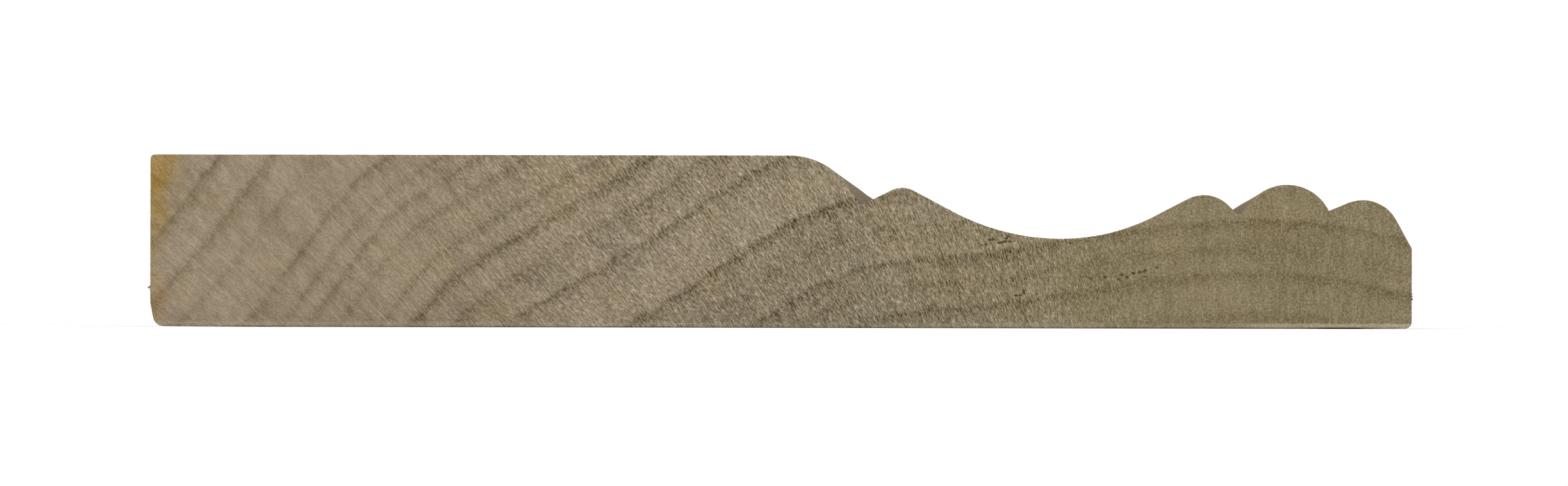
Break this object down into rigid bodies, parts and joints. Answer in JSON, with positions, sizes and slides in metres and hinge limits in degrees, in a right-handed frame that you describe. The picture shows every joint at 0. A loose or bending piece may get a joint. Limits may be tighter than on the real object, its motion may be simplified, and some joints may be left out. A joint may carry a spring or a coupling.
{
  "type": "skirting board",
  "caption": "Moulded hardwood skirting board with a plain lower face, ovolo, astragal, cove and three beads.",
  "frame": {"origin": "middle of the flat back, which the board lies on", "axes": "+X from the edge that meets the floor to the moulded top edge, +Y along the length, +Z out of the wall"},
  "size_m": [0.1396, 1, 0.0191],
  "materials": {
    "wood": "bare planed and sawn tulipwood, matt, grey olive brown"
  },
  "bodies": {
    "root": {"skirting_board": "wood"}
  },
  "joints": []
}
